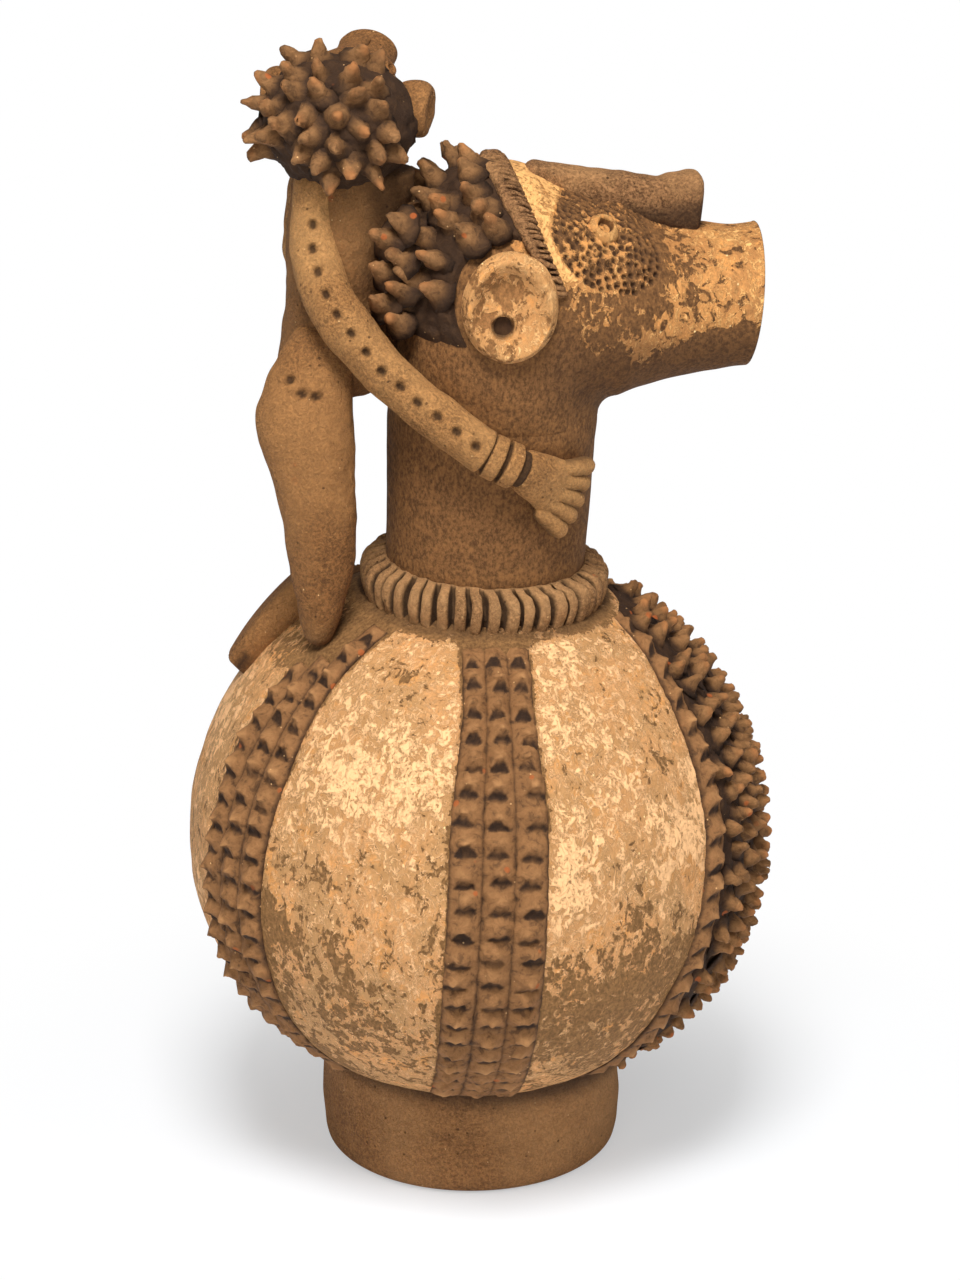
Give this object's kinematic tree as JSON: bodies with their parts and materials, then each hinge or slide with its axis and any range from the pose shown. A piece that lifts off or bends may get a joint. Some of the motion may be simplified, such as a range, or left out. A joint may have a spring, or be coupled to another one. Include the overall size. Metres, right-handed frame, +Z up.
{
  "type": "figural terracotta vessel",
  "caption": "Globular clay pot on a foot ring, its beaded neck ending in a spouted head, with pinched bands and clay horns on the belly and a small rider clinging to the neck",
  "frame": {"origin": "on the floor under the middle of the bounding box", "axes": "+X the way the spout points, +Y to the vessel's left, +Z up"},
  "size_m": [0.2524, 0.257, 0.4987],
  "materials": {
    "slip_clay": "low-fired clay under a matt cream slip that has flaked away in patches",
    "brown_clay": "bare low-fired brown clay, smoothed and matt",
    "dark_clay": "dark brown clay, pinched, rough and matt"
  },
  "bodies": {
    "root": {"lower_bowl": "slip_clay", "shoulder_dome": "slip_clay", "head_shell": "slip_clay", "snout_spout": "slip_clay", "ear_disc_right": "slip_clay", "ear_disc_left": "slip_clay", "nose_bridge": "dark_clay", "eye_ring_right": "dark_clay", "eye_ring_left": "dark_clay", "hairline_fillet": "dark_clay", "hair": "dark_clay", "front_horn_panel": "dark_clay", "rider_hair": "dark_clay", "front_border_fillet_right": "dark_clay", "side_fillet_right_1": "dark_clay", "back_fillet_right_1": "dark_clay", "side_fillet_right_2": "dark_clay", "back_fillet_right_2": "dark_clay", "side_fillet_right_3": "dark_clay", "back_fillet_right_3": "dark_clay", "front_border_fillet_left": "dark_clay", "side_fillet_left_1": "dark_clay", "back_fillet_left_1": "dark_clay", "side_fillet_left_2": "dark_clay", "back_fillet_left_2": "dark_clay", "side_fillet_left_3": "dark_clay", "back_fillet_left_3": "dark_clay", "foot_ring": "brown_clay", "neck_cylinder": "brown_clay", "collar_ring": "brown_clay", "rider_trunk": "brown_clay", "rider_leg_right": "brown_clay", "rider_leg_left": "brown_clay", "rider_foot_left": "brown_clay", "rider_head": "brown_clay", "rider_nose": "brown_clay", "rider_arm_right": "brown_clay", "rider_hand_right": "brown_clay", "rider_bracelet_right_1": "brown_clay", "rider_bracelet_right_2": "brown_clay", "rider_ear_right": "brown_clay", "rider_eye_right": "brown_clay", "rider_arm_left": "brown_clay", "rider_hand_left": "brown_clay", "rider_bracelet_left_1": "brown_clay", "rider_bracelet_left_2": "brown_clay", "rider_ear_left": "brown_clay", "rider_eye_left": "brown_clay"}
  },
  "joints": []
}
